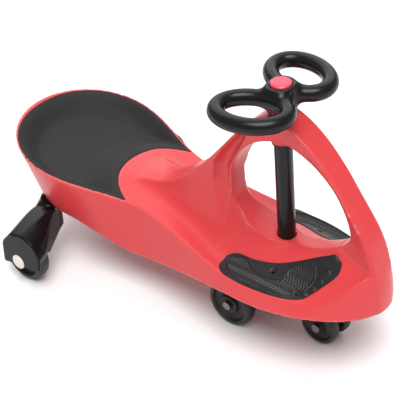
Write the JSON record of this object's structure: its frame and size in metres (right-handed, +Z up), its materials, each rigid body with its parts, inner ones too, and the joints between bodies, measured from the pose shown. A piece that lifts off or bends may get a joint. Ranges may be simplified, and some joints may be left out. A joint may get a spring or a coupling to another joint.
{
  "type": "wiggle car",
  "caption": "Low ride-on toy car with a dished seat, foot pads on a wide deck and an arch holding a looped steering wheel whose column turns a small truck of wheels.",
  "frame": {"origin": "on the floor under the middle of the length, on the car's centre plane", "axes": "+X towards the nose, +Y to the driver's left, +Z up"},
  "size_m": [0.724, 0.388, 0.445],
  "materials": {
    "red_shell": "coral red moulded polypropylene, satin gloss",
    "soft_pad": "charcoal moulded pad, fine matte grain",
    "black_plastic": "black moulded plastic, satin",
    "pink_cap": "light red snap-in cap",
    "cream_cap": "off-white push-on cap",
    "plated_steel": "zinc plated",
    "tyre_black": "black polyurethane wheel, dull tread"
  },
  "bodies": {
    "chassis": {"body_shell": "red_shell", "seat_pad": "soft_pad", "seat_pad_clips": "plated_steel", "right_foot_pad": "soft_pad", "left_foot_pad": "soft_pad", "foot_pad_screws": "plated_steel", "upper_bush": "black_plastic", "lower_bush": "black_plastic", "right_bracket": "black_plastic", "left_bracket": "black_plastic", "bracket_screws": "plated_steel", "right_rear_axle": "plated_steel", "left_rear_axle": "plated_steel", "right_axle_cap": "cream_cap", "left_axle_cap": "cream_cap"},
    "steering": {"steering_wheel": "black_plastic", "wheel_cap": "pink_cap", "steering_column": "black_plastic", "tie_rod": "plated_steel", "tie_nut": "plated_steel", "truck": "black_plastic", "main_axle": "plated_steel", "guide_axle": "plated_steel"},
    "right_main_spin": {"right_main_wheel": "tyre_black", "right_main_bearing": "plated_steel"},
    "right_guide_spin": {"right_guide_wheel": "tyre_black", "right_guide_bearing": "plated_steel"},
    "right_rear_spin": {"right_rear_wheel": "tyre_black", "right_rear_bearing": "plated_steel"},
    "left_main_spin": {"left_main_wheel": "tyre_black", "left_main_bearing": "plated_steel"},
    "left_guide_spin": {"left_guide_wheel": "tyre_black", "left_guide_bearing": "plated_steel"},
    "left_rear_spin": {"left_rear_wheel": "tyre_black", "left_rear_bearing": "plated_steel"}
  },
  "joints": [
    {"name": "steering_turn", "type": "hinge", "parent": "chassis", "child": "steering", "pos_m": [0.179, 0, 0.2], "axis": [0, 0, 1], "continuous": true},
    {"name": "right_main_roll", "type": "hinge", "parent": "steering", "child": "right_main_spin", "pos_m": [0.11, -0.058, 0.041], "axis": [0, 1, 0], "continuous": true},
    {"name": "right_guide_roll", "type": "hinge", "parent": "steering", "child": "right_guide_spin", "pos_m": [0.251, -0.016, 0.0345], "axis": [0, 1, 0], "continuous": true},
    {"name": "right_rear_roll", "type": "hinge", "parent": "chassis", "child": "right_rear_spin", "pos_m": [-0.244, -0.169, 0.042], "axis": [0, 1, 0], "continuous": true},
    {"name": "left_main_roll", "type": "hinge", "parent": "steering", "child": "left_main_spin", "pos_m": [0.11, 0.058, 0.041], "axis": [0, 1, 0], "continuous": true},
    {"name": "left_guide_roll", "type": "hinge", "parent": "steering", "child": "left_guide_spin", "pos_m": [0.251, 0.016, 0.0345], "axis": [0, 1, 0], "continuous": true},
    {"name": "left_rear_roll", "type": "hinge", "parent": "chassis", "child": "left_rear_spin", "pos_m": [-0.244, 0.169, 0.042], "axis": [0, 1, 0], "continuous": true}
  ]
}
